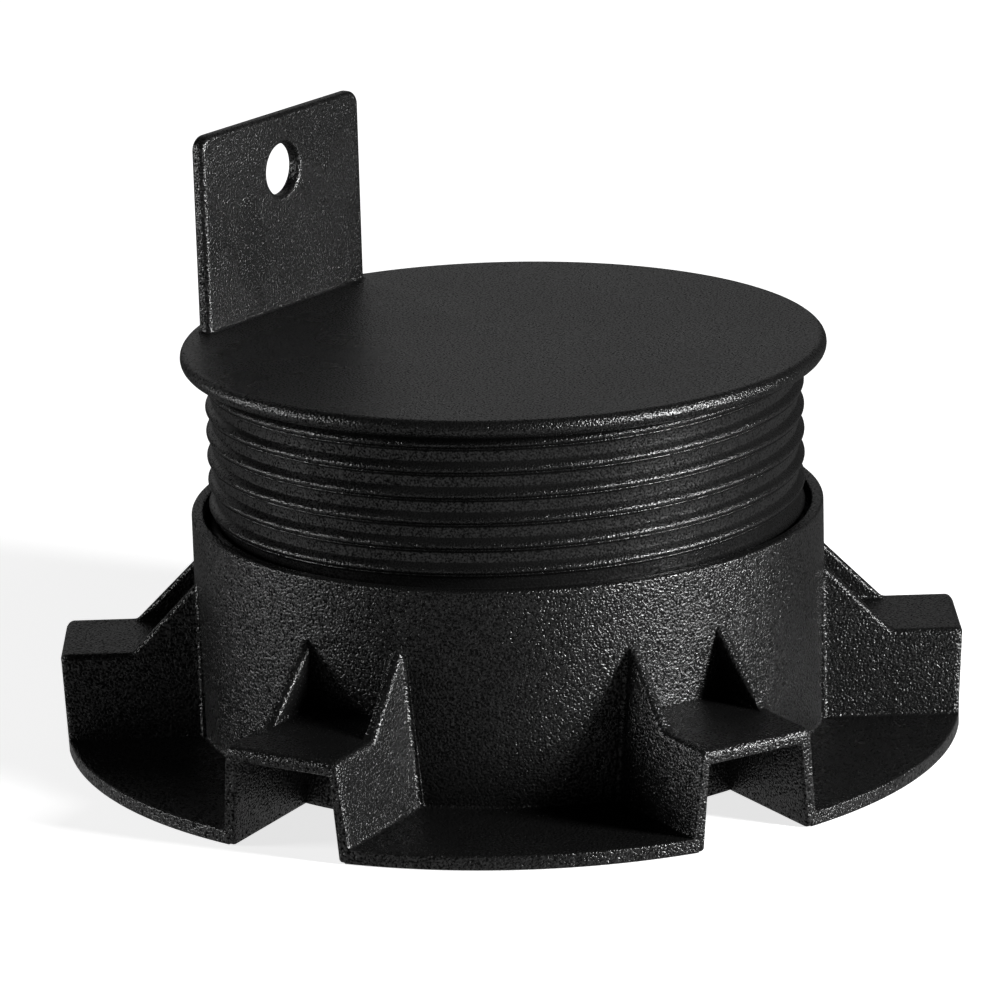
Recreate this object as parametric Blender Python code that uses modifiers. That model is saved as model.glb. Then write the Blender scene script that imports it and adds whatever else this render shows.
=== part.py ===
"""An adjustable pedestal for decks, in two moulded pieces: a foot with a threaded collar, and a
screw head whose round plate carries a joist and whose upright tab is screwed to it.

Frame: +Z is up, and the origin is on the thread's axis at the ground. The tab stands on the -X
side and the joist rests against its +X face. Lengths are in metres.
"""

import math

import bmesh
import bpy
from mathutils import Matrix

# Foot
FOOT_RADIUS = 0.0900
FOOT_TURN = math.radians(35.4)
FLOOR_THICKNESS = 0.0030
BRIDGE_COUNT = 6
BRIDGE_HEIGHT = 0.0203
BRIDGE_TOP_WIDTH = 0.0246
BRIDGE_FOOT_WIDTH = 0.0282
BRIDGE_WALL = 0.0025
BRIDGE_ROOF = 0.0031
BRIDGE_LIP = 0.0007
BRIDGE_LEDGE = 0.0143
GUSSET_SLOPE = 1.024

# Collar of the foot
COLLAR_HEIGHT = 0.0465
COLLAR_WALL = 0.0024
COLLAR_RIM_ROUNDING = 0.0005
BORE_CLEARANCE = 0.0012
INNER_THREAD_CLEARANCE = 0.0003
INNER_THREAD_TURNS = 5
INNER_THREAD_FROM_RIM = 0.0030

# Thread of the head
THREAD_PITCH = 0.0050
THREAD_CREST_RADIUS = 0.0596
THREAD_DEPTH = 0.0013
THREAD_CREST_WIDTH = 0.0006
THREAD_ROOT_WIDTH = 0.0026
THREAD_PHASE_HEIGHT = 0.0600
THREAD_SINK = 0.0005
SKIRT_LENGTH = 0.0460
SKIRT_WALL = 0.0023
THREAD_FROM_SKIRT_END = 0.0020
THREAD_FROM_PLATE = 0.0002
SKIRT_LEAD_IN = 0.0006

# Plate and tab of the head
LIFT = 0.0300
PLATE_RADIUS = 0.0642
PLATE_THICKNESS = 0.0035
TAB_FACE_FROM_AXIS = 0.0528
TAB_THICKNESS = 0.0031
TAB_WIDTH = 0.0525
TAB_HEIGHT = 0.0400
TAB_CORNER_RADIUS = 0.0030
TAB_EDGE_ROUNDING = 0.0004
TAB_SINK = 0.0015
HOLE_RADIUS = 0.0055
HOLE_HEIGHT = 0.0284

# Ribs under the plate
RIB_COUNT = 6
RIB_THICKNESS = 0.0018
RIB_DEPTH = 0.0060
HUB_RADIUS = 0.0140
HUB_WALL = 0.0020

# Facets
ROUND_STEPS = 72
OUTER_STEPS = 144
HOLE_STEPS = 28
CORNER_STEPS = 5
OVERLAP = 0.0010
SMOOTH_ANGLE = math.radians(32)

# Sizes that follow from the ones above
VALLEY_RADIUS = THREAD_CREST_RADIUS - THREAD_DEPTH
BORE_RADIUS = THREAD_CREST_RADIUS + BORE_CLEARANCE
COLLAR_RADIUS = BORE_RADIUS + COLLAR_WALL
GUSSET_KNEE_RADIUS = FOOT_RADIUS - BRIDGE_LEDGE
ARM_START = BORE_RADIUS + COLLAR_WALL * 0.3
FLOOR_START = BORE_RADIUS + COLLAR_WALL * 0.6
PLATE_UNDERSIDE = COLLAR_HEIGHT + LIFT
PLATE_TOP = PLATE_UNDERSIDE + PLATE_THICKNESS
SKIRT_END = PLATE_UNDERSIDE - SKIRT_LENGTH


def clear_scene():
    for obj in list(bpy.data.objects):
        bpy.data.objects.remove(obj, do_unlink=True)


def new_collection(name):
    collection = bpy.data.collections.new(name)
    bpy.context.scene.collection.children.link(collection)
    return collection


def black_plastic():
    """Black polypropylene with the fine eroded grain of its mould."""
    material = bpy.data.materials.new("black_polypropylene")
    material.use_nodes = True
    shader = material.node_tree.nodes["Principled BSDF"]
    shader.inputs["Base Color"].default_value = (0.012, 0.012, 0.012, 1)
    shader.inputs["Roughness"].default_value = 0.5
    shader.inputs["Metallic"].default_value = 0
    return material


def outline_object(name, collection, points, edges):
    """An object that is only a line of edges, for a modifier to turn."""
    mesh = bpy.data.meshes.new(name)
    mesh.from_pydata(points, edges, [])
    obj = bpy.data.objects.new(name, mesh)
    collection.objects.link(obj)
    return obj


def make_helper(obj):
    """A cutter or an added shape: it works through a Boolean and isn't drawn."""
    obj.hide_render = True
    obj.display_type = "WIRE"


def add_screw(obj, steps, turns=1, rise=0):
    """Turns the object's profile about Z, and lifts it by rise along the way."""
    screw = obj.modifiers.new("turn", "SCREW")
    screw.axis = "Z"
    screw.angle = 2 * math.pi * turns
    screw.screw_offset = rise
    screw.steps = steps
    screw.render_steps = steps
    screw.use_merge_vertices = True
    screw.merge_threshold = 1e-6


def turned(name, collection, profile, steps, closed=False):
    """A solid of revolution. The profile lies in the XZ plane and runs down its outer side."""
    points = [(radius, 0, height) for radius, height in profile]
    edges = [(i, i + 1) for i in range(len(points) - 1)]
    if closed:
        edges.append((len(points) - 1, 0))
    obj = outline_object(name, collection, points, edges)
    add_screw(obj, steps)
    return obj


def arc(centre_x, centre_y, radius, start, end, steps):
    """Points of an arc from angle start to angle end, both included."""
    angles = [start + (end - start) * i / steps for i in range(steps + 1)]
    return [(centre_x + radius * math.cos(a), centre_y + radius * math.sin(a)) for a in angles]


def bake(obj):
    """Replaces the object by the plain mesh that its modifiers or its curve give."""
    graph = bpy.context.evaluated_depsgraph_get()
    mesh = bpy.data.meshes.new_from_object(obj.evaluated_get(graph))
    name, collection, matrix = obj.name, obj.users_collection[0], obj.matrix_world.copy()
    bpy.data.objects.remove(obj, do_unlink=True)
    baked = bpy.data.objects.new(name, mesh)
    baked.matrix_world = matrix
    collection.objects.link(baked)
    return baked


def flat_solid(name, collection, outlines, thickness, rounding=0):
    """A flat outline with its holes in the local XY plane, thickened evenly about it."""
    curve = bpy.data.curves.new(name, "CURVE")
    curve.dimensions = "2D"
    curve.fill_mode = "BOTH"
    curve.extrude = thickness / 2 - rounding
    curve.bevel_depth = rounding
    curve.bevel_resolution = 1
    curve.offset = -rounding
    for outline in outlines:
        spline = curve.splines.new("POLY")
        spline.points.add(len(outline) - 1)
        for point, (x, y) in zip(spline.points, outline):
            point.co = (x, y, 0, 1)
        spline.use_cyclic_u = True
    obj = bpy.data.objects.new(name, curve)
    collection.objects.link(obj)
    obj = bake(obj)
    work = bmesh.new()
    work.from_mesh(obj.data)
    bmesh.ops.remove_doubles(work, verts=work.verts, dist=1e-6)
    bmesh.ops.recalc_face_normals(work, faces=work.faces)
    work.to_mesh(obj.data)
    work.free()
    return obj


def place(obj, matrix):
    """Moves the object's mesh, so that the object itself stays at the origin."""
    obj.data.transform(matrix)


def combine(obj, name, operation, operand, solver="EXACT"):
    boolean = obj.modifiers.new(name, "BOOLEAN")
    boolean.operation = operation
    boolean.solver = solver
    if isinstance(operand, bpy.types.Collection):
        boolean.operand_type = "COLLECTION"
        boolean.collection = operand
    else:
        boolean.object = operand
        make_helper(operand)


def helix(name, collection, section, steps, start_height, start_step):
    """A ridge of the given section (radius, height) wound round Z, with both ends closed."""
    points = [(radius, 0, height) for radius, height in section]
    edges = [(i, (i + 1) % len(points)) for i in range(len(points))]
    obj = outline_object(name, collection, points, edges)
    turns = steps / ROUND_STEPS
    add_screw(obj, steps, turns, THREAD_PITCH * turns)
    obj = bake(obj)
    work = bmesh.new()
    work.from_mesh(obj.data)
    ends = [edge for edge in work.edges if edge.is_boundary]
    bmesh.ops.holes_fill(work, edges=ends)
    bmesh.ops.recalc_face_normals(work, faces=work.faces)
    work.to_mesh(obj.data)
    work.free()
    turn = Matrix.Rotation(2 * math.pi * start_step / ROUND_STEPS, 4, "Z")
    place(obj, Matrix.Translation((0, 0, start_height)) @ turn)
    return obj


def thread_start(lowest):
    """The first facet edge, counted from +X, at which the thread's crest is above this height."""
    steps = (lowest - THREAD_PHASE_HEIGHT) / THREAD_PITCH * ROUND_STEPS
    step = math.ceil(steps)
    return step, THREAD_PHASE_HEIGHT + step * THREAD_PITCH / ROUND_STEPS


def bridge_half_width(height):
    """Half the width over a bridge's leaning walls, which are wider at the ground."""
    lean = (BRIDGE_FOOT_WIDTH - BRIDGE_TOP_WIDTH) / 2 / BRIDGE_HEIGHT
    return BRIDGE_FOOT_WIDTH / 2 - lean * height


def bridge_section(bottom, top):
    """The section across a bridge: two leaning walls between these heights, joined by the roof."""
    lean = math.atan((BRIDGE_FOOT_WIDTH - BRIDGE_TOP_WIDTH) / 2 / BRIDGE_HEIGHT)
    wall = BRIDGE_WALL / math.cos(lean)
    below_roof = BRIDGE_HEIGHT - BRIDGE_ROOF
    right = [
        (bridge_half_width(BRIDGE_HEIGHT) - wall, BRIDGE_HEIGHT),
        (bridge_half_width(top) - wall, top),
        (bridge_half_width(top), top),
        (bridge_half_width(bottom), bottom),
        (bridge_half_width(bottom) - wall, bottom),
        (bridge_half_width(below_roof) - wall, below_roof),
    ]
    left = [(-x, z) for x, z in reversed(right)]
    return right + left


def radial(angle):
    """Takes the local XY plane to the plane across a bridge at this angle, and local Z outwards."""
    upright = Matrix(((0, 0, 1, 0), (1, 0, 0, 0), (0, 1, 0, 0), (0, 0, 0, 1)))
    return Matrix.Rotation(angle, 4, "Z") @ upright


def make_arm(collection):
    """One bridge with its two gussets, along +X: a section run outwards, cut to the side profile."""
    inner_end = ARM_START - BRIDGE_FOOT_WIDTH / 2
    outer_end = FOOT_RADIUS + OVERLAP
    top = BRIDGE_HEIGHT + GUSSET_SLOPE * (GUSSET_KNEE_RADIUS - inner_end)
    arm = flat_solid("arm", collection, [bridge_section(-2 * OVERLAP, top)], outer_end - inner_end)
    place(arm, Matrix.Translation(((inner_end + outer_end) / 2, 0, 0)) @ radial(0))

    beyond = outer_end + OVERLAP
    above = top + OVERLAP
    outline = [
        (inner_end - OVERLAP, top + GUSSET_SLOPE * OVERLAP),
        (GUSSET_KNEE_RADIUS, BRIDGE_HEIGHT),
        (beyond, BRIDGE_HEIGHT),
        (beyond, above + OVERLAP),
        (inner_end - OVERLAP, above + OVERLAP),
    ]
    cutter = flat_solid("gusset_cutter", collection, [outline], BRIDGE_FOOT_WIDTH + 2 * OVERLAP)
    place(cutter, Matrix.Rotation(math.pi / 2, 4, "X"))
    combine(arm, "gussets", "DIFFERENCE", cutter, solver="MANIFOLD")
    core = [(ARM_START, above + OVERLAP), (ARM_START, -4 * OVERLAP)]
    core = [(0, above + OVERLAP)] + core + [(0, -4 * OVERLAP)]
    core = turned("arm_end_cutter", collection, core, ROUND_STEPS)
    combine(arm, "inner_end", "DIFFERENCE", core)
    arm = bake(arm)
    bpy.data.objects.remove(cutter, do_unlink=True)
    bpy.data.objects.remove(core, do_unlink=True)
    return arm


def make_foot(parts, cutters, material):
    """The foot: floor sectors and raised bridges in turn round a threaded collar."""
    edge = FOOT_RADIUS + OVERLAP
    floor = [(edge, FLOOR_THICKNESS), (edge, -OVERLAP)]
    floor += [(FLOOR_START, -OVERLAP), (FLOOR_START, FLOOR_THICKNESS)]
    foot = turned("foot", parts, floor, OUTER_STEPS, closed=True)

    slot_width = BRIDGE_FOOT_WIDTH - BRIDGE_WALL
    slot = [
        (FLOOR_START / 2, -slot_width / 2),
        (edge + OVERLAP, -slot_width / 2),
        (edge + OVERLAP, slot_width / 2),
        (FLOOR_START / 2, slot_width / 2),
    ]
    slots = bpy.data.collections.new("floor_slots")
    arms = bpy.data.collections.new("bridges")
    cutters.children.link(slots)
    cutters.children.link(arms)
    first_arm = make_arm(arms)
    for index in range(BRIDGE_COUNT):
        turn = Matrix.Rotation(FOOT_TURN + 2 * math.pi * index / BRIDGE_COUNT, 4, "Z")
        cutter = flat_solid(f"floor_slot_{index}", slots, [slot], 4 * FLOOR_THICKNESS)
        place(cutter, turn)
        make_helper(cutter)
        arm = first_arm.copy()
        arm.name = f"bridge_{index}"
        arm.data = first_arm.data.copy()
        arms.objects.link(arm)
        place(arm, turn)
        make_helper(arm)
    bpy.data.objects.remove(first_arm, do_unlink=True)
    combine(foot, "floor_slots", "DIFFERENCE", slots)
    combine(foot, "bridges", "UNION", arms)

    rim = COLLAR_RIM_ROUNDING
    rim_z = COLLAR_HEIGHT - rim
    profile = arc(BORE_RADIUS + rim, rim_z, rim, math.pi, math.pi / 2, 2)
    profile += arc(COLLAR_RADIUS - rim, rim_z, rim, math.pi / 2, 0, 2)
    profile += [(COLLAR_RADIUS, -3 * OVERLAP), (BORE_RADIUS, -3 * OVERLAP)]
    combine(foot, "collar", "UNION", turned("collar", cutters, profile, ROUND_STEPS, closed=True))
    above = COLLAR_HEIGHT + OVERLAP
    below_roof = BRIDGE_HEIGHT - BRIDGE_ROOF
    lip = FOOT_RADIUS + BRIDGE_LIP
    envelope = [(0, above), (lip, above), (lip, below_roof), (FOOT_RADIUS, below_roof)]
    envelope += [(FOOT_RADIUS, 0), (0, 0)]
    combine(foot, "outline", "INTERSECT", turned("foot_outline", cutters, envelope, OUTER_STEPS))

    crest = THREAD_CREST_RADIUS + INNER_THREAD_CLEARANCE
    root = BORE_RADIUS + THREAD_SINK
    half_crest = THREAD_CREST_WIDTH / 2
    half_root = THREAD_ROOT_WIDTH / 2
    section = [(crest, half_crest), (root, half_root), (root, -half_root), (crest, -half_crest)]
    below_rim = COLLAR_HEIGHT - INNER_THREAD_FROM_RIM - THREAD_ROOT_WIDTH / 2
    step, height = thread_start(below_rim - (INNER_THREAD_TURNS + 1) * THREAD_PITCH)
    steps = INNER_THREAD_TURNS * ROUND_STEPS
    ridge = helix("inner_thread", cutters, section, steps, height, step)
    combine(foot, "inner_thread", "UNION", ridge)
    finish(foot, material)


def make_tab(collection):
    """The upright tab: a plate with two rounded corners and a round screw hole."""
    half = TAB_WIDTH / 2
    corner = TAB_CORNER_RADIUS
    top = PLATE_TOP + TAB_HEIGHT
    outline = [(-half, PLATE_TOP - TAB_SINK), (half, PLATE_TOP - TAB_SINK)]
    outline += arc(half - corner, top - corner, corner, 0, math.pi / 2, CORNER_STEPS)
    outline += arc(-half + corner, top - corner, corner, math.pi / 2, math.pi, CORNER_STEPS)
    hole = arc(0, PLATE_TOP + HOLE_HEIGHT, HOLE_RADIUS, 0, 2 * math.pi, HOLE_STEPS)[:-1]
    tab = flat_solid("tab", collection, [outline, hole], TAB_THICKNESS, TAB_EDGE_ROUNDING)
    place(tab, Matrix.Translation((-TAB_FACE_FROM_AXIS - TAB_THICKNESS / 2, 0, 0)) @ radial(0))
    return tab


def make_head(parts, cutters, material):
    """The head: a round plate on a hollow threaded skirt, with a tab on top and ribs below."""
    edge = PLATE_THICKNESS / 2
    inside = VALLEY_RADIUS - SKIRT_WALL
    profile = [(0, PLATE_TOP)]
    profile += arc(PLATE_RADIUS - edge, PLATE_TOP - edge, edge, math.pi / 2, -math.pi / 2, 8)
    profile += [(VALLEY_RADIUS, PLATE_UNDERSIDE), (VALLEY_RADIUS, SKIRT_END + SKIRT_LEAD_IN)]
    profile += [(VALLEY_RADIUS - SKIRT_LEAD_IN, SKIRT_END), (inside, SKIRT_END)]
    profile += [(inside, PLATE_UNDERSIDE), (0, PLATE_UNDERSIDE)]
    head = turned("screw_head", parts, profile, ROUND_STEPS)

    half_crest = THREAD_CREST_WIDTH / 2
    half_root = THREAD_ROOT_WIDTH / 2
    root = VALLEY_RADIUS - THREAD_SINK
    section = [(THREAD_CREST_RADIUS, half_crest), (THREAD_CREST_RADIUS, -half_crest)]
    section += [(root, -half_root), (root, half_root)]
    step, height = thread_start(SKIRT_END + THREAD_FROM_SKIRT_END)
    highest = PLATE_UNDERSIDE - half_root - THREAD_FROM_PLATE
    steps = math.floor((highest - height) / THREAD_PITCH * ROUND_STEPS)
    combine(head, "thread", "UNION", helix("thread", cutters, section, steps, height, step))
    combine(head, "tab", "UNION", make_tab(cutters))

    hub_bottom = PLATE_UNDERSIDE - RIB_DEPTH
    hub_top = PLATE_UNDERSIDE + OVERLAP
    rib_bottom = hub_bottom + OVERLAP / 2
    rib_top = hub_top + OVERLAP / 2
    hub = [(HUB_RADIUS, hub_top), (HUB_RADIUS, hub_bottom)]
    hub += [(HUB_RADIUS - HUB_WALL, hub_bottom), (HUB_RADIUS - HUB_WALL, hub_top)]
    combine(head, "hub", "UNION", turned("hub", cutters, hub, ROUND_STEPS // 2, closed=True))
    ribs = bpy.data.collections.new("ribs")
    cutters.children.link(ribs)
    rib_start = HUB_RADIUS - HUB_WALL / 2
    rib_end = VALLEY_RADIUS - SKIRT_WALL / 2
    outline = [(rib_start, rib_bottom), (rib_end, rib_bottom), (rib_end, rib_top), (rib_start, rib_top)]
    for index in range(RIB_COUNT):
        rib = flat_solid(f"rib_{index}", ribs, [outline], RIB_THICKNESS)
        turn = Matrix.Rotation(2 * math.pi * index / RIB_COUNT, 4, "Z")
        place(rib, turn @ Matrix.Rotation(math.pi / 2, 4, "X"))
        make_helper(rib)
    combine(head, "ribs", "UNION", ribs)
    finish(head, material)


def finish(obj, material):
    """Keeps the shape that the modifiers give, with round faces smooth and its edges sharp."""
    obj = bake(obj)
    obj.data.materials.clear()
    obj.data.materials.append(material)
    obj.data.shade_smooth()
    obj.data.set_sharp_from_angle(angle=SMOOTH_ANGLE)


def main():
    clear_scene()
    parts = new_collection("decking_pedestal")
    cutters = new_collection("cutters")
    material = black_plastic()
    make_foot(parts, cutters, material)
    make_head(parts, cutters, material)


main()
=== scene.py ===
"""A height-adjustable decking pedestal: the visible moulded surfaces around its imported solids.

The frame is the part's own: +Z up, origin on the thread's axis at the ground, tab on the -X side.
Lengths are metres, and mm turns a drawing's millimetres into them.
"""

import math

import bmesh
import bpy
import numpy as np
from mathutils import Matrix, Vector


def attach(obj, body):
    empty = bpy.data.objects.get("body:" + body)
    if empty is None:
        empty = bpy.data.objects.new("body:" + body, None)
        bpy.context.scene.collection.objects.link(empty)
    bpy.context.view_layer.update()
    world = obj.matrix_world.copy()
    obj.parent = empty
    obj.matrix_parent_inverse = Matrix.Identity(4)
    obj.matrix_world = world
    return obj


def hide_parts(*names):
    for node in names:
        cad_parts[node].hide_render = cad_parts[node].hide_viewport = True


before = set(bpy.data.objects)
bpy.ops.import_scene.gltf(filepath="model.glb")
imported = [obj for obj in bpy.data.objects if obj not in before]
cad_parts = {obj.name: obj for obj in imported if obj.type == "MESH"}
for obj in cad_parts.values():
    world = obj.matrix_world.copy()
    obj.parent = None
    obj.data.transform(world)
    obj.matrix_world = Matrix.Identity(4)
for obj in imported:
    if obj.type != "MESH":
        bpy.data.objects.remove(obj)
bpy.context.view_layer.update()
mm = 0.001

# Foot: six bridges. Each is an inverted channel folded up out of the foot's floor, of one wall
# thickness, with two gussets that slope up to the collar. Polypropylene, moulded with the foot.

bridge_count = 6
bridge_turn = math.radians(35.4)
bridge_roof_top = 20.3 * mm
bridge_roof_under = 17.2 * mm
bridge_half_foot = 14.1 * mm
bridge_half_top = 12.3 * mm
bridge_lean = (bridge_half_foot - bridge_half_top) / bridge_roof_top
bridge_wall = 2.51 * mm
bridge_lip = 0.7 * mm
gusset_top = 33.1 * mm
gusset_knee = 75.7 * mm
foot_radius = 90 * mm
collar_radius = 63.2 * mm
floor_top = 3.0 * mm
bury = 0.03 * mm


def rounded(corners, radii, steps):
    """Outlines with round corners, as an array of points (..., corner * (steps + 1), 2).

    Each corner becomes an arc that touches both of its edges. Its centre lies on the line that
    halves the corner's angle, radius / sin(half angle) away, and the arc turns by what the
    angle lacks of a half turn.
    """
    corners = np.asarray(corners, float)
    radii = np.broadcast_to(np.asarray(radii, float), corners.shape[:-1])
    before = np.roll(corners, 1, axis=-2) - corners
    after = np.roll(corners, -1, axis=-2) - corners
    before /= np.linalg.norm(before, axis=-1, keepdims=True)
    after /= np.linalg.norm(after, axis=-1, keepdims=True)
    half = np.arccos(np.clip((before * after).sum(-1), -1, 1)) / 2
    middle = before + after
    middle /= np.linalg.norm(middle, axis=-1, keepdims=True)
    to_centre = middle * (radii / np.sin(half))[..., None]
    start = before * (radii / np.tan(half))[..., None] - to_centre
    end = after * (radii / np.tan(half))[..., None] - to_centre
    side = np.sign(start[..., 0] * end[..., 1] - start[..., 1] * end[..., 0])
    angle = ((np.pi - 2 * half) * side)[..., None] * np.linspace(0, 1, steps + 1)
    x = start[..., 0, None] * np.cos(angle) - start[..., 1, None] * np.sin(angle)
    y = start[..., 0, None] * np.sin(angle) + start[..., 1, None] * np.cos(angle)
    points = np.stack([x, y], axis=-1) + (corners + to_centre)[..., None, :]
    return points.reshape(corners.shape[:-2] + (-1, 2))


def surface(name, grids, round_path=False):
    """A mesh of one or more grids of points (row, column, xyz), one quad for each cell.

    Columns always close round the outline. Rows close when round_path is set; otherwise the
    first and the last row each get one flat face, unless they are a single point of the axis.
    """
    points, faces = [], []
    for grid in grids:
        rows, columns = grid.shape[:2]
        index = np.arange(rows * columns).reshape(rows, columns) + sum(len(p) for p in points)
        upper = index if round_path else index[:-1]
        lower = np.roll(index, -1, axis=0) if round_path else index[1:]
        cells = [upper, np.roll(upper, -1, axis=1), np.roll(lower, -1, axis=1), lower]
        faces += np.stack(cells, axis=-1).reshape(-1, 4).tolist()
        if not round_path:
            faces += [index[0, ::-1].tolist(), index[-1].tolist()]
        points.append(grid.reshape(-1, 3))
    mesh = bpy.data.meshes.new(name)
    mesh.from_pydata(np.concatenate(points).tolist(), [], faces)
    work = bmesh.new()
    work.from_mesh(mesh)
    bmesh.ops.remove_doubles(work, verts=work.verts, dist=1e-8)
    bmesh.ops.recalc_face_normals(work, faces=work.faces)
    work.to_mesh(mesh)
    work.free()
    piece = bpy.data.objects.new(name, mesh)
    bpy.context.scene.collection.objects.link(piece)
    return piece


def turned_about_z(points, angle):
    """The same points, turned about the thread's axis: x cos - y sin, x sin + y cos, and z."""
    c, s = math.cos(angle), math.sin(angle)
    return points @ np.array([[c, s, 0], [-s, c, 0], [0, 0, 1]])


def bridge_grid():
    """One bridge along +X: its section, carried outwards from inside the collar's wall.

    The section's corners stand upright first, then lean inwards by the wall's lean times their
    height. The gussets' height falls in a straight line to the roof at the knee, and the walls
    flare along a quarter circle into the collar. The outer end follows the foot's round rim,
    with the roof's lip beyond it. Over the last stretch each corner moves into the plastic
    along a quarter ellipse, which rounds the end's edges: most at the top and at the ground.
    """
    steps = 5
    edge = 0.5 * mm
    inside_edge = 0.6 * mm
    gusset_edge = 1.2 * mm
    fillet = 0.8 * mm
    end_rounding = 1.4 * mm
    inner_end = 61.3 * mm
    wall_meets_collar = 62.1 * mm
    past_fillet = 64 * mm
    knee_half = 0.8 * mm
    knee_softness = 0.3 * mm
    straight_to = 80 * mm
    last_row = 85 * mm
    lip_from = bridge_roof_under - 0.4 * mm
    lip_blend = 1.2 * mm
    outer_end = foot_radius - bury
    turning = np.linspace(0, np.pi / 2, 8)
    place = np.concatenate([
        [inner_end],
        wall_meets_collar + fillet * (1 - np.sin(turning[::-1])),
        np.linspace(past_fillet, gusset_knee - knee_half, 8),
        gusset_knee + knee_half * np.array([-0.5, 0, 0.5, 1]),
        [straight_to, last_row],
        outer_end - end_rounding * (1 - np.sin(turning)),
    ])
    near_collar = np.clip(1 - (place - wall_meets_collar) / fillet, 0, 1)
    flare = fillet * (1 - np.sqrt(1 - near_collar ** 2))
    fall = (gusset_top - bridge_roof_top) / (gusset_knee - collar_radius)
    above = fall * (gusset_knee - place)
    above = (above + np.sqrt(above ** 2 + knee_softness ** 2)) / 2
    # Past the knee it stays a hair above the roof, so that each row has the same corners.
    above = np.where(place > gusset_knee + 0.9 * knee_half, 0.01 * mm, above)
    gusset = bridge_roof_top + above
    outer = bridge_half_foot + flare
    inner = bridge_half_foot - bridge_wall - flare
    under = np.full_like(place, bridge_half_foot - bridge_wall)
    foot = np.full_like(place, bridge_half_foot)
    tongue = foot + 2 * mm
    tongue_under = 1 * mm

    def at(width, height):
        """One corner of the section at every place along the bridge."""
        return np.stack([width, np.broadcast_to(height, width.shape)], axis=-1)

    # Each corner of the right half, its radius, and its move at the end: sideways and up, in mm.
    ridge = np.clip(0.45 * above, 0.004 * mm, gusset_edge)
    right_up = [
        (at(tongue, tongue_under), 0.1 * mm, (0, 0)),
        (at(tongue, floor_top - bury), 0.1 * mm, (0, 0)),
        (at(outer, floor_top - bury), fillet, (-0.3, 0)),
        (at(outer, gusset), gusset_edge, (-0.5, -1.4)),
        (at(inner, gusset), ridge, (0, -1.4)),
        (at(inner, bridge_roof_top), np.minimum(ridge, inside_edge), (0, -1.4)),
    ]
    right_down = [
        (at(under, bridge_roof_under), inside_edge, (0.5, 0.5)),
        (at(under, 0), edge, (0.5, 1.1)),
        (at(foot, 0), edge, (-0.5, 1.1)),
        (at(foot, tongue_under), 0.05 * mm, (-0.3, 0.2)),
    ]
    mirror = np.array([-1, 1])
    loop = right_up
    loop += [(corner * mirror, radius, mirror * move) for corner, radius, move in right_up[::-1]]
    loop += [(corner * mirror, radius, mirror * move) for corner, radius, move in right_down[::-1]]
    loop += right_down
    corners = np.stack([corner for corner, _, _ in loop], axis=1)
    radii = np.stack([np.broadcast_to(radius, place.shape) for _, radius, _ in loop], axis=1)
    moves = np.repeat(np.array([move for _, _, move in loop]) * mm, steps + 1, axis=0)
    outlines = rounded(corners, radii, steps)
    from_end = np.clip(1 - (outer_end - place) / end_rounding, 0, 1)
    sunk = 1 - np.sqrt(1 - from_end ** 2)
    outlines = outlines + moves[None] * sunk[:, None, None]
    across, height = outlines[..., 0], outlines[..., 1]
    across = across - np.sign(across) * bridge_lean * height
    share = np.clip((place - straight_to) / (foot_radius - straight_to), 0, 1)[:, None]
    in_roof = np.clip((height - lip_from) / lip_blend, 0, 1)
    lip = bridge_lip * in_roof * in_roof * (3 - 2 * in_roof)
    rim = np.sqrt(foot_radius ** 2 - across ** 2) + lip
    out = np.where(share > 0, straight_to + share * (rim - straight_to), place[:, None])
    return np.stack([out, across, height], axis=-1)


one_bridge = bridge_grid()
bridge_angles = [bridge_turn + math.tau * k / bridge_count for k in range(bridge_count)]
bridges = surface("bridges", [turned_about_z(one_bridge, a) for a in bridge_angles])

# Foot: floor sectors and collar. The floor is a flat ring, open under each bridge, and the
# collar is a plain round wall with the foot's thread inside. All is one polypropylene moulding.

collar_height = 46.5 * mm
bore_radius = 60.8 * mm
in_collar_wall = 62.0 * mm
floor_under = 0.04 * mm
floor_edge = 0.5 * mm
floor_fillet = 0.8 * mm
collar_rim_edge = 0.6 * mm
collar_foot_edge = 0.3 * mm
hidden_edge = 0.05 * mm
slot_half = bridge_half_foot - bridge_wall / 2
slot_from, slot_to = 60 * mm, 95 * mm
slot_heights = (-3 * mm, 8 * mm)
round_steps = 360
longest_edge = 1.5 * mm
thread_pitch = 5.0 * mm
thread_height_at_x = 60.0 * mm
inner_thread_lowest = 17 * mm
inner_thread_highest = 42 * mm
inner_thread_run_out = math.radians(25)


def divided(outline, longest):
    """The closed outline with points added, so that none of its edges is over the length."""
    points = []
    for begin, end in zip(outline, np.roll(outline, -1, axis=0)):
        parts = max(1, math.ceil(np.linalg.norm(end - begin) / longest))
        points += [begin + (end - begin) * k / parts for k in range(parts)]
    return np.array(points)


def spun(name, corners, radii, steps=5):
    """A ring: the rounded outline (radius, height) turned once about the axis."""
    outline = divided(rounded(np.array(corners), np.array(radii), steps), longest_edge)
    turn = np.linspace(0, math.tau, round_steps, endpoint=False)[:, None]
    radius, height = outline[None, :, 0], outline[None, :, 1]
    grid = np.stack([radius * np.cos(turn), radius * np.sin(turn), height + 0 * turn], axis=-1)
    return surface(name, [grid], round_path=True)


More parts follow.
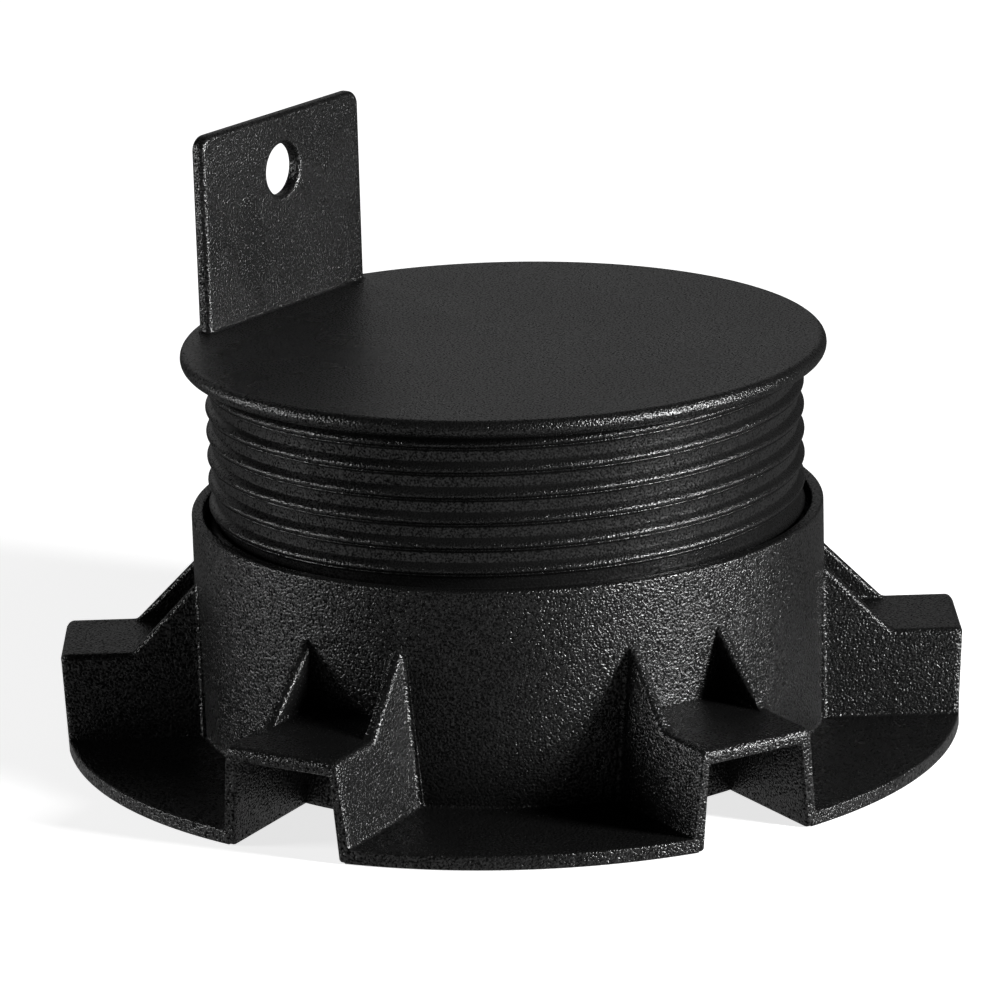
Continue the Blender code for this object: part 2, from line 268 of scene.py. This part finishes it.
def wound(name, section, lowest, highest, run_out, steps_per_turn=180):
    """A ridge wound round the axis: its section (radius, height) climbs one pitch each turn.

    lowest and highest are the crest's heights at its two ends. Over the angle run_out at each
    end the section sinks into its wall, along a smooth step, so that the ridge ends gently.
    """
    begin = (lowest - thread_height_at_x) / thread_pitch * math.tau
    finish = (highest - thread_height_at_x) / thread_pitch * math.tau
    turn = np.linspace(begin, finish, int((finish - begin) / math.tau * steps_per_turn))[:, None]
    share = np.clip(np.minimum(turn - begin, finish - turn) / run_out, 0, 1)
    least = 0.02
    share = least + (1 - least) * share * share * (3 - 2 * share)
    root = section[0, 0]
    radius = root + (section[None, :, 0] - root) * share
    height = section[None, :, 1] + thread_height_at_x + thread_pitch * turn / math.tau
    grid = np.stack([radius * np.cos(turn), radius * np.sin(turn), height], axis=-1)
    return surface(name, [grid])


floor_ring = spun("floor_ring", [
    (in_collar_wall, floor_under), (foot_radius, floor_under), (foot_radius, floor_top),
    (collar_radius - bury, floor_top), (collar_radius - bury, floor_top + 2 * floor_fillet),
    (in_collar_wall, floor_top + 2 * floor_fillet),
], [hidden_edge, floor_edge, 0.8 * floor_edge, floor_fillet, hidden_edge, hidden_edge])
collar = spun("collar", [
    (collar_radius, 0), (collar_radius, collar_height),
    (bore_radius, collar_height), (bore_radius, 0),
], [collar_foot_edge, collar_rim_edge, collar_rim_edge, collar_foot_edge])

slot_corners = [(slot_from, -slot_half), (slot_from, slot_half),
                (slot_to, slot_half), (slot_to, -slot_half)]
slot_rows = np.stack([np.column_stack([slot_corners, np.full(4, height)])
                      for height in slot_heights])
floor_slots = surface("floor_slots", [turned_about_z(slot_rows, a) for a in bridge_angles])

inner_ridge = rounded(np.array([
    (61.4, -1.5), (60.8, -1.3), (59.93, -0.35), (59.93, 0.35), (60.8, 1.3), (61.4, 1.5),
]) * mm, np.array([0.05, 0.2, 0.25, 0.25, 0.2, 0.05]) * mm, 3)
inner_thread = wound("inner_thread", inner_ridge, inner_thread_lowest, inner_thread_highest,
                     inner_thread_run_out)


def join(name, first, steps):
    """Cuts and joins closed pieces into one moulding, and shades it smooth between its edges."""
    for operation, other in steps:
        boolean = first.modifiers.new(operation.lower(), "BOOLEAN")
        boolean.operation = operation
        boolean.solver = "MANIFOLD"
        boolean.object = other
    bpy.context.view_layer.update()
    graph = bpy.context.evaluated_depsgraph_get()
    mesh = bpy.data.meshes.new_from_object(first.evaluated_get(graph))
    for used in [first] + [other for _, other in steps]:
        bpy.data.objects.remove(used, do_unlink=True)
    work = bmesh.new()
    work.from_mesh(mesh)
    bmesh.ops.remove_doubles(work, verts=work.verts, dist=0.002 * mm)
    bmesh.ops.dissolve_degenerate(work, edges=work.edges, dist=0.001 * mm)
    work.to_mesh(mesh)
    work.free()
    mesh.shade_smooth()
    mesh.set_sharp_from_angle(angle=math.radians(38))
    piece = bpy.data.objects.new(name, mesh)
    bpy.context.scene.collection.objects.link(piece)
    weighted = piece.modifiers.new("flat_faces_stay_flat", "WEIGHTED_NORMAL")
    weighted.keep_sharp = True
    weighted.mode = "FACE_AREA_WITH_ANGLE"
    return piece


foot_moulding = join("foot_moulding", floor_ring, [
    ("DIFFERENCE", floor_slots), ("UNION", bridges), ("UNION", collar), ("UNION", inner_thread),
])

mould_line_length = 3.4 * mm
mould_line_flatness = 7
rubbed_patch = 18 * mm
full_grain_above = 76 * mm
level_from, level_full = 0.7, 0.97


def linear(hex_colour):
    """An sRGB hex colour as linear red, green, blue and alpha.

    A dark channel is divided by 12.92; any other gains 0.055, is divided by 1.055 and raised
    to the power 2.4.
    """
    parts = np.array([int(hex_colour[k:k + 2], 16) for k in (1, 3, 5)]) / 255
    parts = np.where(parts <= 0.04045, parts / 12.92, ((parts + 0.055) / 1.055) ** 2.4)
    return (*parts.tolist(), 1.0)


def add_node(tree, kind, settings=(), inputs=(), links=()):
    """Adds one node, with its settings, its sockets' values, and links to its sockets."""
    node = tree.nodes.new(kind)
    for name, value in dict(settings).items():
        setattr(node, name, value)
    for name, value in dict(inputs).items():
        node.inputs[name].default_value = value
    for name, source in dict(links).items():
        tree.links.new(source, node.inputs[name])
    return node


def moulded_polypropylene(name, colour, worn_colour, grain, grain_height, flat_gloss, line_height,
                          gloss, smooth_below):
    """Black polypropylene from a mould whose wall was spark-eroded: it looks speckled where
    light grazes it, and deep black elsewhere.

    The grain is a random relief of the given size, drawn about twice as coarse as a real one,
    so that it shows. The reflection level is painted from it: painted shade in its hollows and
    painted glints on its tops. flat_gloss is what is left of the reflection on level faces, a
    painted shade on the faces that look up. On walls the mould's machining left faint level
    lines, longer than they are high. Inside the radius smooth_below, up to the plate, the mould
    was turned, and less grain is left. The gloss varies a little where the grain is rubbed down.
    """
    material = bpy.data.materials.new(name)
    material.use_nodes = True
    tree = material.node_tree
    shader = tree.nodes["Principled BSDF"]
    coordinates = add_node(tree, "ShaderNodeTexCoord")
    where = coordinates.outputs["Object"]
    rubbed = add_node(tree, "ShaderNodeTexNoise", inputs={
        "Scale": 1 / rubbed_patch, "Detail": 3.0}, links={"Vector": where})

    tint = add_node(tree, "ShaderNodeValToRGB", links={"Fac": rubbed.outputs["Fac"]})
    tint.color_ramp.elements[0].color = linear(colour)
    tint.color_ramp.elements[1].color = linear(worn_colour)
    tree.links.new(tint.outputs["Color"], shader.inputs["Base Color"])
    rough = add_node(tree, "ShaderNodeMapRange", inputs={
        "From Min": 0.3, "From Max": 0.7, "To Min": gloss - 0.02, "To Max": gloss + 0.02},
        links={"Value": rubbed.outputs["Fac"]})
    tree.links.new(rough.outputs["Result"], shader.inputs["Roughness"])
    shader.inputs["IOR"].default_value = 1.49

    relief = add_node(tree, "ShaderNodeTexNoise", inputs={
        "Scale": 1 / grain, "Detail": 1.5, "Roughness": 0.5}, links={"Vector": where})
    facing = add_node(tree, "ShaderNodeSeparateXYZ", links={
        "Vector": coordinates.outputs["Normal"]})
    # Painted shade in the grain's hollows and painted glints on its tops, set through the
    # reflection level.
    painted_grain_speckle = add_node(tree, "ShaderNodeMapRange", inputs={
        "From Min": 0.36, "From Max": 0.64}, links={"Value": relief.outputs["Fac"]})
    # Painted shade on faces that look up: their reflection falls towards flat_gloss.
    painted_level_shade = add_node(tree, "ShaderNodeMapRange", inputs={
        "From Min": level_from, "From Max": level_full, "To Min": 1.0, "To Max": flat_gloss},
        links={"Value": facing.outputs["Z"]})
    glint = add_node(tree, "ShaderNodeMath", {"operation": "MULTIPLY"}, links={
        0: painted_grain_speckle.outputs["Result"], 1: painted_level_shade.outputs["Result"]})
    tree.links.new(glint.outputs["Value"], shader.inputs["Specular IOR Level"])

    flattened = add_node(tree, "ShaderNodeMapping", inputs={
        "Scale": (1, 1, mould_line_flatness)}, links={"Vector": where})
    lines = add_node(tree, "ShaderNodeTexNoise", inputs={
        "Scale": 1 / mould_line_length, "Detail": 2.0, "Roughness": 0.5},
        links={"Vector": flattened.outputs["Vector"]})
    on_walls = add_node(tree, "ShaderNodeMapRange", inputs={
        "From Min": level_from, "From Max": level_full, "To Min": 1.0, "To Max": 0.15},
        links={"Value": facing.outputs["Z"]})
    line_relief = add_node(tree, "ShaderNodeBump", inputs={"Distance": line_height}, links={
        "Height": lines.outputs["Fac"], "Strength": on_walls.outputs["Result"]})

    place = add_node(tree, "ShaderNodeSeparateXYZ", links={"Vector": where})
    on_plate = add_node(tree, "ShaderNodeMapRange", inputs={
        "From Min": full_grain_above, "From Max": full_grain_above + 0.4 * mm},
        links={"Value": place.outputs["Z"]})
    from_axis = add_node(tree, "ShaderNodeVectorMath", {"operation": "MULTIPLY"}, {
        1: (1, 1, 0)}, {0: where})
    radius = add_node(tree, "ShaderNodeVectorMath", {"operation": "LENGTH"}, links={
        0: from_axis.outputs["Vector"]})
    on_crest = add_node(tree, "ShaderNodeMapRange", inputs={
        "From Min": smooth_below - 0.5 * mm, "From Max": smooth_below, "To Min": 0.3},
        links={"Value": radius.outputs["Value"]})
    eroded = add_node(tree, "ShaderNodeMath", {"operation": "MAXIMUM"}, links={
        0: on_plate.outputs["Result"], 1: on_crest.outputs["Result"]})
    bumps = add_node(tree, "ShaderNodeMapRange", inputs={
        "From Min": 0.3, "From Max": 0.7}, links={"Value": relief.outputs["Fac"]})
    grain_relief = add_node(tree, "ShaderNodeBump", inputs={"Distance": grain_height}, links={
        "Height": bumps.outputs["Result"], "Strength": eroded.outputs["Value"],
        "Normal": line_relief.outputs["Normal"]})
    tree.links.new(grain_relief.outputs["Normal"], shader.inputs["Normal"])
    return material


foot_moulding.data.materials.clear()
foot_moulding.data.materials.append(moulded_polypropylene(
    "coarse_grained_black_polypropylene", "#0e0e0e", "#161616", grain=0.46 * mm,
    grain_height=0.125 * mm, flat_gloss=0.45, line_height=0.05 * mm, gloss=0.27,
    smooth_below=61 * mm))
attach(foot_moulding, "foot")
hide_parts("foot")

# Head: round plate on a hollow skirt. The plate's rim is fully rounded, and a hub with ribs
# stiffens it from below. Polypropylene, moulded in one with the thread and the tab.

plate_radius = 64.2 * mm
plate_top = 80.0 * mm
plate_under = 76.5 * mm
plate_edge = 1.7 * mm
skirt_end = 30.5 * mm
skirt_outside = 58.3 * mm
skirt_inside = 56.0 * mm
hub_radius = 14 * mm
hub_inside = 12 * mm
hub_under = 70.5 * mm
rib_count = 6
rib_half = 0.9 * mm
rib_under = 71.0 * mm
rib_reach = (13 * mm, 57.2 * mm)
in_plate = 77.5 * mm
soft_edge = 0.3 * mm
joined_edge = 0.1 * mm
no_edge = 0.001 * mm


def spun_disc(name, corners, radii, steps=6):
    """A disc or cup: an outline that starts and ends on the axis, turned once about it."""
    outline = rounded(np.array(corners), np.array(radii), steps)[steps:-steps]
    outline[0, 0] = 0
    outline[-1, 0] = 0
    turn = np.linspace(0, math.tau, round_steps, endpoint=False)[None, :]
    radius, height = outline[:, 0, None], outline[:, 1, None]
    grid = np.stack([radius * np.cos(turn), radius * np.sin(turn), height + 0 * turn], axis=-1)
    return surface(name, [grid])


head_body = spun_disc("head_body", [
    (0, plate_top), (plate_radius, plate_top), (plate_radius, plate_under),
    (skirt_outside, plate_under), (skirt_outside, skirt_end), (skirt_inside, skirt_end),
    (skirt_inside, plate_under), (0, plate_under),
], [no_edge, plate_edge, plate_edge, 0.6 * mm, 0.5 * mm, 0.4 * mm, 0.5 * mm, no_edge])
hub = spun("hub", [
    (hub_inside, hub_under), (hub_radius, hub_under),
    (hub_radius, in_plate), (hub_inside, in_plate),
], [soft_edge, soft_edge, joined_edge, joined_edge], 3)
rib_outline = rounded(
    [(-rib_half, rib_under), (rib_half, rib_under),
     (rib_half, in_plate + soft_edge), (-rib_half, in_plate + soft_edge)],
    [soft_edge, soft_edge, joined_edge, joined_edge], 3)
rib_rows = np.stack([np.column_stack([np.full(len(rib_outline), out), rib_outline])
                     for out in rib_reach])
ribs = surface("ribs", [turned_about_z(rib_rows, math.tau * k / rib_count)
                        for k in range(rib_count)])

# Head: outside thread. A single right-hand ridge of 5 mm pitch: a round crest, with a fine
# parting groove and a small bead just below it. The mould's split line runs in that groove.

thread_lowest = 32.4 * mm
thread_highest = 75.9 * mm
thread_run_out = math.radians(30)
thread_section = np.array([
    (57.6, -1.9), (58.28, -1.62), (58.45, -1.32), (58.75, -1.10), (59.00, -0.98), (59.16, -0.86),
    (59.22, -0.78), (59.20, -0.70), (59.08, -0.64), (58.98, -0.58), (59.10, -0.53), (59.30, -0.44),
    (59.46, -0.30), (59.56, -0.12), (59.60, 0.06), (59.58, 0.24), (59.50, 0.42), (59.34, 0.62),
    (59.10, 0.84), (58.80, 1.06), (58.50, 1.30), (58.31, 1.58), (57.6, 1.9),
]) * mm
head_thread = wound("head_thread", thread_section, thread_lowest, thread_highest, thread_run_out)

# Head: tab. An upright plate with rounded corners and a round screw hole, which is screwed to
# the joist's side. Its edges are softly rounded and a small fillet runs round its base.

tab_face = -52.8 * mm
tab_back = -55.9 * mm
tab_half = 26.5 * mm
tab_top = 120.0 * mm
tab_foot = plate_top - 1.6 * mm
tab_corner = 3.0 * mm
tab_foot_corner = 1.5 * mm
tab_edge = 1.1 * mm
fillet_radius = 0.9 * mm
fillet_root = 1 * mm
hole_radius = 5.3 * mm
hole_height = 108.4 * mm
hole_edge = 1.0 * mm


def inset(outlines, depth):
    """The outlines moved inwards by depth, each point at right angles to its two neighbours."""
    along = np.roll(outlines, -1, axis=-2) - np.roll(outlines, 1, axis=-2)
    along /= np.maximum(np.linalg.norm(along, axis=-1, keepdims=True), 1e-12)
    inward = np.stack([-along[..., 1], along[..., 0]], axis=-1)
    following = np.roll(outlines, -1, axis=-2)
    area = (outlines[..., 0] * following[..., 1] - outlines[..., 1] * following[..., 0]).sum(-1)
    return outlines + inward * np.sign(area)[..., None, None] * depth[..., None, None]


def slab(outline, near, far, edge):
    """The outline stacked through the slab's thickness, with both rims rounded.

    At each face the depth and the inset of the outline follow a quarter circle.
    """
    turning = np.linspace(0, np.pi / 2, 6)
    deep = edge * (1 - np.sin(turning))
    x = np.concatenate([(near - deep)[::-1], far + deep])
    narrower = np.tile(edge * (1 - np.cos(turning)), (2, 1))
    narrower = np.concatenate([narrower[0, ::-1], narrower[1]])
    loops = inset(np.repeat(outline[None], len(x), axis=0), narrower)
    return np.concatenate([np.broadcast_to(x[:, None, None], loops.shape[:2] + (1,)), loops],
                          axis=-1)


def hole_cutter(radius, near, far, edge):
    """A spool along X: the hole's radius, flared by a quarter circle where it meets a face.

    It reaches a little past both faces, so that it cuts them cleanly.
    """
    turning = np.linspace(0, np.pi / 2, 6)
    deep = edge * (1 - np.sin(turning))
    wider = edge * (1 - np.cos(turning))
    beyond = 1 * mm
    x = np.concatenate([[near + beyond], (near - deep)[::-1], far + deep, [far - beyond]])
    reach = radius + np.concatenate([[wider[-1]], wider[::-1], wider, [wider[-1]]])
    turn = np.linspace(0, math.tau, 96, endpoint=False)[None, :]
    return np.stack([x[:, None] + 0 * turn, reach[:, None] * np.cos(turn),
                     hole_height + reach[:, None] * np.sin(turn)], axis=-1)


tab_outline = rounded(
    [(-tab_half, tab_foot), (tab_half, tab_foot), (tab_half, tab_top), (-tab_half, tab_top)],
    [tab_foot_corner, tab_foot_corner, tab_corner, tab_corner], 10)
tab = surface("tab", [slab(tab_outline, tab_face, tab_back, tab_edge)])
tab_hole = surface("tab_hole", [hole_cutter(hole_radius, tab_face, tab_back, hole_edge)])

footprint = rounded(
    [(tab_back, -tab_half), (tab_face, -tab_half), (tab_face, tab_half), (tab_back, tab_half)],
    tab_edge, 6)
fillet_turn = np.linspace(0, np.pi / 2, 8)
fillet_out = np.concatenate([[fillet_radius], fillet_radius * (1 - np.sin(fillet_turn)) - bury])
fillet_up = np.concatenate([[-fillet_root], fillet_radius * (1 - np.cos(fillet_turn))])
fillet_up += plate_top - bury
fillet_loops = inset(np.repeat(footprint[None], len(fillet_out), axis=0), -fillet_out)
fillet_heights = np.broadcast_to(fillet_up[:, None, None], fillet_loops.shape[:2] + (1,))
tab_fillet = surface("tab_fillet", [np.concatenate([fillet_loops, fillet_heights], axis=-1)])

head_moulding = join("head_moulding", head_body, [
    ("UNION", tab), ("UNION", tab_fillet), ("DIFFERENCE", tab_hole), ("UNION", head_thread),
    ("UNION", hub), ("UNION", ribs),
])
head_moulding.data.materials.clear()
head_moulding.data.materials.append(moulded_polypropylene(
    "fine_grained_black_polypropylene", "#0e0e0e", "#161616", grain=0.40 * mm,
    grain_height=0.085 * mm, flat_gloss=0.95, line_height=0.04 * mm, gloss=0.28,
    smooth_below=59.3 * mm))
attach(head_moulding, "head")
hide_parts("screw_head")

# Studio: a table of white paper that keeps the pedestal's shadow, and two soft lights low at its
# sides. The room is dark but for a pale wall behind the pedestal, brightest in the direction
# pale_wall and gone where the cosine to it is 0.82. The camera sees the whole room white.

table_reach = 3.0
pale_wall = (-0.67, 0.69, 0.276)

table_mesh = bpy.data.meshes.new("table")
table_mesh.from_pydata([(-table_reach, -table_reach, 0), (table_reach, -table_reach, 0),
                        (table_reach, table_reach, 0), (-table_reach, table_reach, 0)],
                       [], [(0, 1, 2, 3)])
table = bpy.data.objects.new("table", table_mesh)
bpy.context.scene.collection.objects.link(table)
table.location.z = -0.05 * mm


def white_table_paper():
    """White paper, whose glow stands in for the room's light on it.

    The camera sees it a little darker near the pedestal, where the shadow falls, than far out.
    The pedestal gets the light that the paper bounces: most from under the foot, within a ring
    of 0.07 to 0.11 m, and beyond it more from the front than from behind.
    """
    material = bpy.data.materials.new("white_table_paper")
    material.use_nodes = True
    tree = material.node_tree
    shader = tree.nodes["Principled BSDF"]
    shader.inputs["Roughness"].default_value = 0.9
    shader.inputs["Emission Color"].default_value = (1, 1, 1, 1)
    by_camera = add_node(tree, "ShaderNodeLightPath").outputs["Is Camera Ray"]
    where = add_node(tree, "ShaderNodeTexCoord").outputs["Object"]
    out = add_node(tree, "ShaderNodeVectorMath", {"operation": "LENGTH"}, links={0: where})
    front = add_node(tree, "ShaderNodeVectorMath", {"operation": "DOT_PRODUCT"}, {
        1: (0.1, -1, 0)}, {0: where})
    side = add_node(tree, "ShaderNodeMapRange", inputs={
        "From Min": -0.1, "From Max": 0.15, "To Min": 0.02, "To Max": 0.2},
        links={"Value": front.outputs["Value"]})
    bounced = add_node(tree, "ShaderNodeMapRange", inputs={
        "From Min": 0.07, "From Max": 0.11, "To Min": 0.35},
        links={"Value": out.outputs["Value"], "To Max": side.outputs["Result"]})
    seen = add_node(tree, "ShaderNodeMapRange", inputs={
        "From Min": 0.15, "From Max": 0.5, "To Min": 0.77, "To Max": 0.95},
        links={"Value": out.outputs["Value"]})
    glow = add_node(tree, "ShaderNodeMapRange", links={
        "Value": by_camera, "To Min": bounced.outputs["Result"], "To Max": seen.outputs["Result"]})
    tree.links.new(glow.outputs["Result"], shader.inputs["Emission Strength"])
    tint = add_node(tree, "ShaderNodeValToRGB", links={"Fac": by_camera})
    tint.color_ramp.elements[0].color = linear("#484848")
    tint.color_ramp.elements[1].color = linear("#e4e4e4")
    tree.links.new(tint.outputs["Color"], shader.inputs["Base Color"])
    return material


table.data.materials.append(white_table_paper())


def soft_light(name, azimuth, elevation, distance, width, height, power):
    """A rectangular lamp aimed at the thread's middle, which lies 0.05 m above the ground.

    It stands at the distance from there, in the direction cos azimuth cos elevation,
    sin azimuth cos elevation, sin elevation. The azimuth is counted from +X.
    """
    lamp = bpy.data.lights.new(name, "AREA")
    lamp.shape = "RECTANGLE"
    lamp.size = width
    lamp.size_y = height
    lamp.energy = power
    light = bpy.data.objects.new(name, lamp)
    bpy.context.scene.collection.objects.link(light)
    a, e = math.radians(azimuth), math.radians(elevation)
    towards = Vector((math.cos(a) * math.cos(e), math.sin(a) * math.cos(e), math.sin(e)))
    light.location = Vector((0, 0, 0.05)) + towards * distance
    light.rotation_euler = towards.to_track_quat("Z", "Y").to_euler()


soft_light("right_softbox", azimuth=7, elevation=15, distance=0.9, width=0.14, height=0.40,
           power=17)
soft_light("left_softbox", azimuth=-142, elevation=9, distance=0.9, width=0.25, height=0.2,
           power=3.5)

world = bpy.data.worlds.new("studio")
bpy.context.scene.world = world
world.use_nodes = True
room = world.node_tree
background = room.nodes["Background"]
background.inputs["Color"].default_value = (1, 1, 1, 1)
ray = add_node(room, "ShaderNodeTexCoord").outputs["Generated"]
behind = add_node(room, "ShaderNodeVectorMath", {"operation": "DOT_PRODUCT"}, {
    1: pale_wall}, {0: ray})
brightness = add_node(room, "ShaderNodeMapRange", {"interpolation_type": "SMOOTHSTEP"}, {
    "From Min": 0.82, "From Max": 1.0, "To Min": 0.01, "To Max": 0.26}, {
    "Value": behind.outputs["Value"]})
strength = add_node(room, "ShaderNodeMapRange", inputs={"To Max": 1.0}, links={
    "Value": add_node(room, "ShaderNodeLightPath").outputs["Is Camera Ray"],
    "To Min": brightness.outputs["Result"]})
room.links.new(strength.outputs["Result"], background.inputs["Strength"])

# Camera: the photograph's own view, found by fitting the pedestal's outlines to it.

camera_azimuth = math.radians(34.894)
camera_elevation = math.radians(16.132)
camera_roll = math.radians(-1.615)
camera_distance = 1.1222
camera_target = Vector((0, 0, 0.0405))
camera_right, camera_up = -0.001474, 0.005554

back = Vector((math.sin(camera_azimuth) * math.cos(camera_elevation),
               -math.cos(camera_azimuth) * math.cos(camera_elevation),
               math.sin(camera_elevation)))
right = Vector((math.cos(camera_azimuth), math.sin(camera_azimuth), 0))
up = back.cross(right)
picture_right = right * math.cos(camera_roll) + up * math.sin(camera_roll)
picture_up = up * math.cos(camera_roll) - right * math.sin(camera_roll)
camera = bpy.data.objects.new("camera", bpy.data.cameras.new("camera"))
bpy.context.scene.collection.objects.link(camera)
camera.data.sensor_width = 36
camera.data.lens = 201.51
camera.data.clip_start = 0.05
camera.data.clip_end = 30
place = camera_target + back * camera_distance + right * camera_right + up * camera_up
camera.matrix_world = Matrix.Translation(place) @ Matrix(
    (picture_right, picture_up, back)).transposed().to_4x4()
bpy.context.scene.camera = camera
bpy.context.scene.view_settings.view_transform = "Standard"
